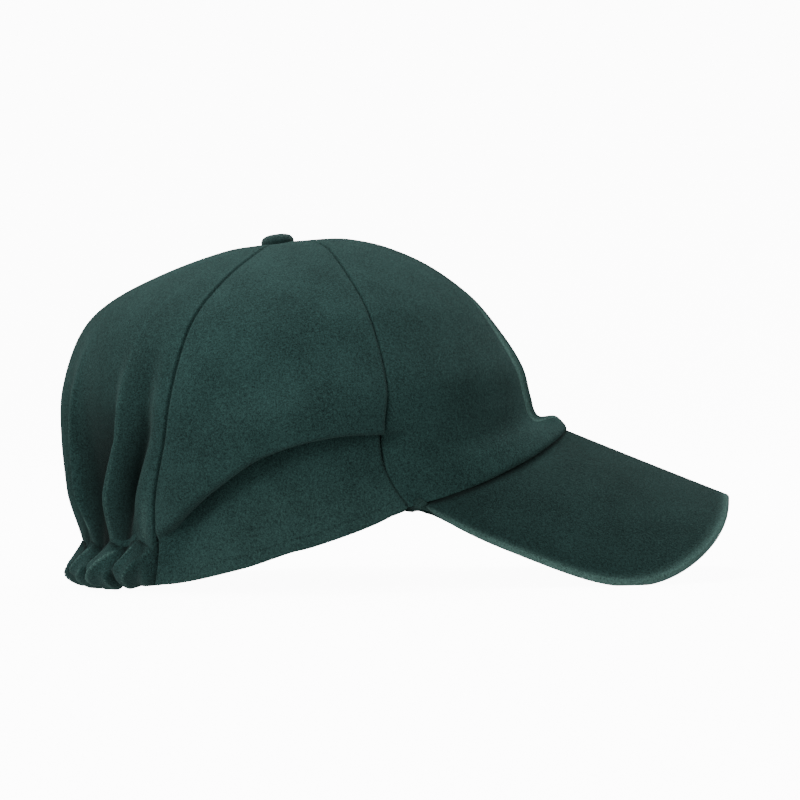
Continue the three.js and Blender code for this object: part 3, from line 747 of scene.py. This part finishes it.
def casing(turn, along):
    """The channel and its painted light and shade: a round section from its top down outside, round the hem
    and up inside, swollen by the frill's lumps and wrinkles. along runs from the left end round the back to
    the right."""
    phase = 2 * np.pi * turn
    share = (1 - np.cos(phase)) / 2
    side = np.radians(seam_back[-1])
    across = 1 - np.abs(2 * along - 1)
    down = lerp(casing_top(lerp(side, np.pi, across)), 1, share)
    side = np.radians(smooth(level, seam_back, down))
    folded = lerp(side, np.pi, across) * np.where(along > 0.5, -1, 1)
    sway = lump_sway * np.sin(3 * share + 9 * across) * share
    lump = smooth(lump_places, lump_heights, np.clip(across + sway, 0, 1))
    fade = away_from_side(np.abs(folded), down)
    swell = np.where(turn < 0.5, np.sin(np.pi * share**1.5), np.sin(phase))
    wrinkle = 1 - np.abs(np.sin(np.pi * (wrinkle_count * across - wrinkle_slant * share)))
    fullness = casing_fullness + casing_wave * (lump - casing_wave_middle)
    fullness += wrinkle_height * (wrinkle - wrinkle_middle)
    outside = fullness * np.clip(swell, 0, 1) ** 0.8 * lerp(casing_end_share, 1, fade**0.5)
    drawn_in = lerp(pinch_sink(across) - casing_stitch_play, pinch_depth, ease(share, 0, 0.5)) * fade
    out = np.where(turn < 0.5, outside, casing_inner_fullness * swell) - drawn_in
    out -= casing_end_dip * (1 - fade) ** 4 + casing_end_tuck * ease(-across, 0, 0.02)
    outwards = crown_frame(folded, down)[0]
    outwards[..., 2] = 0
    points = crown(folded, down) + out[..., None] * unit(outwards)
    points[..., 2] -= hem_wave * (lump - 0.5) * share * fade
    # Painted shade below the pinch and between the lumps, painted highlight on the wrinkles
    below_pinch = pinch_painted_shadow * (1 - ease(share, 0, casing_shadow_end)) * fade
    painted_light_shade = wrinkle_painted_highlight * wrinkle**5 - below_pinch - lump_painted_shade * (1 - lump) ** 2
    return points, np.clip(painted_light_shade, casing_darkest_painted_shade, 1)


casing_turn, casing_along = np.meshgrid(
    np.linspace(0, 1, casing_steps + 1)[:-1],
    np.linspace(-casing_end_run, 1 + casing_end_run, casing_columns),
    indexing="ij",
)
channel_points, channel_painted_light_shade = casing(casing_turn, casing_along)
channel = cloth_piece(
    "Elastic_casing", "elastic_casing", channel_points, gore_wool, painted_light_shade=channel_painted_light_shade, ring=True
)

# Button
# A small metal or wooden button covered with the same cloth, sewn on where the six gores meet.

button_radius = 6.6
button_height = 4.4
button_seat_gap = -0.9
button_rows = 40
button_columns = 64

# Half the button's section: shares of its radius and of its height
button_profile = np.array([[0, 0], [0.86, 0], [1, 0.2], [0.97, 0.5], [0.8, 0.8], [0.45, 0.97], [0, 1]])


def button(share, turn):
    """A low dome turned about its axis from a smooth curve through the profile, where the gores end."""
    places = np.linspace(0, 1, len(button_profile))
    radius = button_radius * np.maximum(smooth(places, button_profile[:, 0], share), 0)
    rise = button_height * smooth(places, button_profile[:, 1], share)
    front, back = crown(0.0, gore_top), crown(np.pi, gore_top)
    lean = math.atan2(front[2] - back[2], front[0] - back[0])
    x, z = radius * np.cos(turn), rise
    seat = (front + back) / 2 + [0, 0, button_seat_gap]
    return seat + np.stack([x * math.cos(lean) - z * math.sin(lean), radius * np.sin(turn),
                            x * math.sin(lean) + z * math.cos(lean)], -1)


button_wool = wool("Button wool", (0.0075, 0.018, 0.0172), (0.028, 0.06, 0.056), 0.2)
button_share, button_turn = np.meshgrid(
    np.linspace(1, 0, button_rows), np.linspace(0, 2 * np.pi, button_columns + 1)[:-1], indexing="ij"
)
button_grid = button(button_share, button_turn)
button_mesh = bpy.data.meshes.new("Button")
inner_rows = into_part(button_grid[1:-1]).reshape(-1, 3)
poles = into_part(button_grid[[0, -1], 0])
top_pole = len(inner_rows)
ring_index = np.arange(top_pole).reshape(button_rows - 2, button_columns)
ring_index = np.hstack([ring_index, ring_index[:, :1]])
walls = np.stack([ring_index[:-1, :-1], ring_index[1:, :-1], ring_index[1:, 1:], ring_index[:-1, 1:]], -1)
top_fan = np.stack([np.full(button_columns, top_pole), ring_index[0, :-1], ring_index[0, 1:]], -1)
bottom_fan = np.stack([np.full(button_columns, top_pole + 1), ring_index[-1, 1:], ring_index[-1, :-1]], -1)
button_faces = walls.reshape(-1, 4).tolist() + top_fan.tolist() + bottom_fan.tolist()
button_mesh.from_pydata(np.vstack([inner_rows, poles]).tolist(), [], button_faces)
button_mesh.shade_smooth()
button_mesh.materials.append(button_wool)
crown_button = bpy.data.objects.new("Button", button_mesh)
bpy.context.scene.collection.objects.link(crown_button)
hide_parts("crown_button")
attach(crown_button, "root")

# Peak
# Two shaped cloths over a hidden stiffener. The upper one is turned round the outer edge and stands a little
# proud of the under one, and both are sewn to the front gores' lower edge.

peak_squareness = 4
peak_corner_depth = 4
peak_front_part = 0.72
peak_cloth_thickness = 1.6
peak_cloth_gap = 0.45
peak_edge_fold = 1
peak_corner_gap = 0.3
peak_shoulder = 2.2
peak_edge_radius = 1.8
peak_under_radius = 0.4
peak_edge_turn = 1.75
peak_tuck_in = 4
# Painted shadow on the peak just below the front gores' rim, a painted highlight round the upper cloth's
# outer edge and painted shade at the under cloth's edge
peak_shadow_reach = 1.2
peak_painted_shadow = 0.85
peak_edge_painted_highlight = 0.5
peak_seam_painted_shade = 0.3
peak_painted_highlight_reach = 2.6
peak_columns = 240
peak_rows = 40
peak_edge_rows = 12

# The same wool as the gores' in darker colours: painted shade that keeps the upward-facing peak as dark as
# the gores under the light from above
shaded_peak_wool = wool("Peak wool painted darker", (0.0055, 0.0125, 0.0115), (0.022, 0.051, 0.047), 0.07)


def peak_inner_edge(along):
    """The inner edge under the front gores' rim: flat width and length, and how much lower the sheet lies."""
    share = np.abs(along)
    outer, _, _ = gore_front(np.ones(along.shape), share, left_dip_width)
    drop = sheet_height(outer) + peak_seat_gap - outer[..., 2]
    outer[..., 1] *= np.sign(along)
    width, length = unrolled(outer)
    slope = np.cos(width / peak_roll_radius) * math.cos(peak_pitch)
    return width, length - peak_tuck_in * (1 - share**6), (drop + peak_corner_gap * share**8) / slope


def peak_outer_edge(along):
    """The outer edge: a squared half oval round the front, then nearly straight back to the corners."""
    share = np.minimum(np.abs(along) / peak_front_part, 1)
    spacing = peak_squareness / 2
    angle = np.pi / 2 * share**spacing / (share**spacing + (1 - share) ** spacing)
    width = np.sign(along) * peak_half_width * np.sin(angle) ** (2 / peak_squareness)
    length = peak_length * np.maximum(np.cos(angle), 0) ** (2 / peak_squareness)
    length += peak_shoulder * np.sin(np.pi * width / peak_half_width) ** 2
    corner_width, corner_length, _ = peak_inner_edge(np.where(along < 0, -1.0, 1.0))
    back = np.clip((np.abs(along) - peak_front_part) / (1 - peak_front_part), 0, 1)
    width = np.where(back > 0, lerp(np.sign(along) * peak_half_width, corner_width, back**2.4), width)
    return width, np.where(back > 0, lerp(0 * length, corner_length + peak_corner_depth, back), length)


def peak_cloth(upper_depth, inset, radius, share, bend, along):
    """One cloth of the peak: the sheet from its inner edge to the inset, then bent down round its outer edge.
    bend is the angle of each row round the edge, 0 on the sheet."""
    inner_width, inner_length, sink = peak_inner_edge(along)
    outer_width, outer_length = peak_outer_edge(along)
    reach = np.hypot(outer_width - inner_width, outer_length - inner_length)
    share = share * (1 - (inset + radius) / reach) + radius * np.sin(bend) / reach
    depth = upper_depth + sink * (1 - share) ** 2 + radius * (1 - np.cos(bend))
    return rolled(lerp(inner_width, outer_width, share), lerp(inner_length, outer_length, share), depth)


peak_share = np.hstack([np.linspace(0, 1, peak_rows), np.ones(peak_edge_rows)])
peak_bend = np.hstack([np.zeros(peak_rows), np.linspace(0, peak_edge_turn, peak_edge_rows + 1)[1:]])
peak_share, peak_along = np.meshgrid(peak_share, np.linspace(-1, 1, peak_columns), indexing="ij")
under_depth = peak_cloth_thickness + peak_cloth_gap
for name, node, upper_depth, inset, radius, edge_painted_light_shade in (
    ("Peak_upper_cloth", "peak_top", 0, 0, peak_edge_radius, peak_edge_painted_highlight),
    ("Peak_under_cloth", "peak_under", under_depth, peak_edge_fold, peak_under_radius, -peak_seam_painted_shade),
):
    points = peak_cloth(upper_depth, inset, radius, peak_share, peak_bend[:, None], peak_along)
    # Painted light and shade of each cloth: painted shadow under the rim and painted light or shade along the
    # outer edge
    inside = np.linalg.norm(points - points[0], axis=-1) - peak_tuck_in * (1 - peak_along**6)
    shadow = np.exp(-((np.maximum(inside, 0) / peak_shadow_reach) ** 2))
    to_edge = np.linalg.norm(points - points[peak_rows + peak_edge_rows // 2], axis=-1)
    painted_light_shade = edge_painted_light_shade * np.exp(-((to_edge / peak_painted_highlight_reach) ** 2)) * (1 - peak_along**10)
    painted_light_shade -= peak_painted_shadow * shadow
    cloth = cloth_piece(name, node, points, shaded_peak_wool, painted_light_shade=painted_light_shade, thickness=peak_cloth_thickness)

# Floor and backdrop
# A sheet of white paper, lit from behind, that runs level under the cap and curves up behind it without an
# edge. It is far brighter than the cap, so it is kept from lighting it.

paper_width = 8
paper_front = -4
paper_back = 3
paper_curve = 1.2
paper_height = 4
paper_glow = 11
curve_steps = 24

curve = np.linspace(0, np.pi / 2, curve_steps)
profile = np.vstack([
    [[paper_front, 0]],
    np.stack([paper_back - paper_curve + paper_curve * np.sin(curve), paper_curve * (1 - np.cos(curve))], -1),
    [[paper_back, paper_height]],
])
paper = bpy.data.meshes.new("Paper")
paper_points = [(x, y, z) for y, z in profile for x in (-paper_width / 2, paper_width / 2)]
paper_strips = [(2 * i, 2 * i + 1, 2 * i + 3, 2 * i + 2) for i in range(len(profile) - 1)]
paper.from_pydata(paper_points, [], paper_strips)
paper.shade_smooth()
paper_white = bpy.data.materials.new("Paper white")
paper_white.use_nodes = True
paper_face = paper_white.node_tree.nodes["Principled BSDF"].inputs
paper_face["Base Color"].default_value = (0.92, 0.92, 0.92, 1)
paper_face["Roughness"].default_value = 1
paper_face["Emission Color"].default_value = (1, 1, 1, 1)
paper_face["Emission Strength"].default_value = paper_glow
paper.materials.append(paper_white)
floor = bpy.data.objects.new("Paper", paper)
floor.visible_diffuse = False
bpy.context.scene.collection.objects.link(floor)

# Light
# A soft light above, a key from behind the cap on the camera's side, one from the far front and a pale room.

light_aim = (0, 0, 0.07)

room = bpy.data.worlds.new("Pale room")
room.use_nodes = True
room.node_tree.nodes["Background"].inputs["Color"].default_value = (1, 1, 1, 1)
room.node_tree.nodes["Background"].inputs["Strength"].default_value = 0.7
bpy.context.scene.world = room

for name, place, size, watts in (
    ("Top light", (-0.3, 0.2, 1.7), 0.7, 22),
    ("Key light", (-1.6, -1.9, 0.9), 0.9, 40),
    ("Far light", (1.2, 2.0, 0.9), 0.9, 16),
):
    lamp = bpy.data.lights.new(name, "AREA")
    lamp.size = size
    lamp.energy = watts
    light = bpy.data.objects.new(name, lamp)
    light.location = place
    light.rotation_euler = (Vector(light_aim) - Vector(place)).to_track_quat("-Z", "Y").to_euler()
    bpy.context.scene.collection.objects.link(light)

# Camera
# It looks at the cap's right side from a little in front, nearly level and just above the floor.

camera_aim = (40, 0, 76)
camera_distance = 1500
camera_yaw = math.radians(5)
camera_tip = math.radians(0.5)
picture_width = 320

cos_yaw, sin_yaw = math.cos(camera_yaw), math.sin(camera_yaw)
cos_tip, sin_tip = math.cos(camera_tip), math.sin(camera_tip)
forward = np.array([-sin_yaw * cos_tip, cos_yaw * cos_tip, -sin_tip])
turned = Matrix.Rotation(rest_lean, 4, "Y") @ Matrix(
    [[cos_yaw, -sin_yaw * sin_tip, -forward[0], 0], [sin_yaw, cos_yaw * sin_tip, -forward[1], 0],
     [0, cos_tip, -forward[2], 0], [0, 0, 0, 1]]
)
lens = bpy.data.cameras.new("Camera")
lens.sensor_width = 36
lens.lens = lens.sensor_width * camera_distance / picture_width
camera = bpy.data.objects.new("Camera", lens)
camera_place = into_part(np.array(camera_aim) - camera_distance * forward)
camera.matrix_world = Matrix.Translation(camera_place) @ turned
bpy.context.scene.collection.objects.link(camera)
bpy.context.scene.camera = camera
